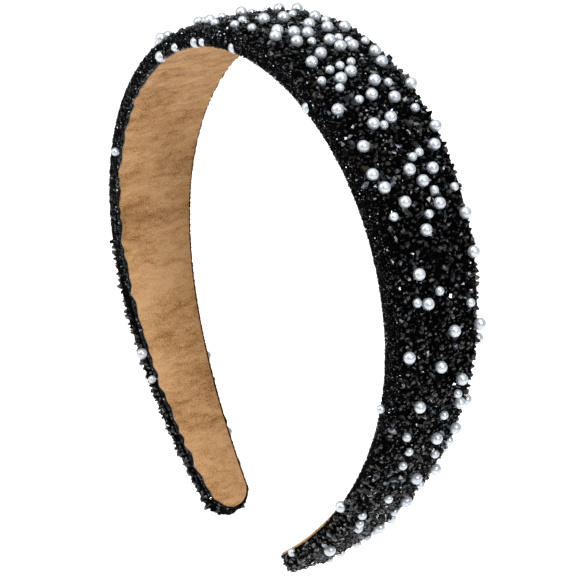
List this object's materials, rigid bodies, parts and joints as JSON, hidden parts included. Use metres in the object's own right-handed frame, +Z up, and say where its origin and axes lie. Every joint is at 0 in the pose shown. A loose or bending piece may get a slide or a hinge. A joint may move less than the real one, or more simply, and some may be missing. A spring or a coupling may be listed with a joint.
{
  "type": "headband",
  "caption": "Rigid hoop headband, wide at the crown and tapering to two rounded tips, with a domed face of crushed glass chips and scattered pearls, lined with suede.",
  "frame": {"origin": "middle of the crown seat: the lining's inner face at the top of the hoop, halfway between its front and back edges", "axes": "+Z up, out of the top of the head; the wearer faces -Y, so +X is the wearer's left; the hoop stands in the XZ plane"},
  "size_m": [0.1408, 0.0314, 0.1558],
  "materials": {
    "lining": "matt suede nap",
    "lining_tape": "clear adhesive film",
    "core": "moulded, smooth",
    "padding": "foam",
    "base_cloth": "matt black weave",
    "crystal_bed": "crushed glass chips, glossy",
    "pearl": "pearl lacquer"
  },
  "bodies": {
    "crown": {"lining_crown": "lining", "lining_tape_crown": "lining_tape", "core_crown": "core", "padding_crown": "padding", "base_cloth_crown": "base_cloth", "crystal_bed_crown": "crystal_bed", "pearl_left_01": "pearl", "pearl_left_02": "pearl", "pearl_left_03": "pearl", "pearl_left_04": "pearl", "pearl_left_05": "pearl", "pearl_left_06": "pearl", "pearl_left_07": "pearl", "pearl_left_08": "pearl", "pearl_left_09": "pearl", "pearl_left_10": "pearl", "pearl_left_11": "pearl", "pearl_left_12": "pearl", "pearl_left_13": "pearl", "pearl_left_14": "pearl", "pearl_left_15": "pearl", "pearl_right_01": "pearl", "pearl_right_02": "pearl", "pearl_right_03": "pearl", "pearl_right_04": "pearl", "pearl_right_05": "pearl", "pearl_right_06": "pearl", "pearl_right_07": "pearl", "pearl_right_08": "pearl", "pearl_right_09": "pearl", "pearl_right_10": "pearl", "pearl_right_11": "pearl", "pearl_right_12": "pearl", "pearl_right_13": "pearl", "pearl_right_14": "pearl", "pearl_right_15": "pearl"},
    "left_leg": {"lining_left_leg": "lining", "lining_tape_left_leg": "lining_tape", "core_left_leg": "core", "padding_left_leg": "padding", "base_cloth_left_leg": "base_cloth", "crystal_bed_left_leg": "crystal_bed", "pearl_left_16": "pearl", "pearl_left_17": "pearl", "pearl_left_18": "pearl", "pearl_left_19": "pearl", "pearl_left_20": "pearl", "pearl_left_21": "pearl"},
    "right_leg": {"lining_right_leg": "lining", "lining_tape_right_leg": "lining_tape", "core_right_leg": "core", "padding_right_leg": "padding", "base_cloth_right_leg": "base_cloth", "crystal_bed_right_leg": "crystal_bed", "pearl_right_16": "pearl", "pearl_right_17": "pearl", "pearl_right_18": "pearl", "pearl_right_19": "pearl", "pearl_right_20": "pearl", "pearl_right_21": "pearl"}
  },
  "joints": [
    {"name": "left_leg_flex", "type": "hinge", "parent": "crown", "child": "left_leg", "pos_m": [0.05919, 0, -0.03573], "axis": [0, -1, 0], "range_deg": [-4, 20], "stiffness_Nm_per_rad": 0.8},
    {"name": "right_leg_flex", "type": "hinge", "parent": "crown", "child": "right_leg", "pos_m": [-0.05919, 0, -0.03573], "axis": [0, 1, 0], "range_deg": [-4, 20], "stiffness_Nm_per_rad": 0.8}
  ]
}
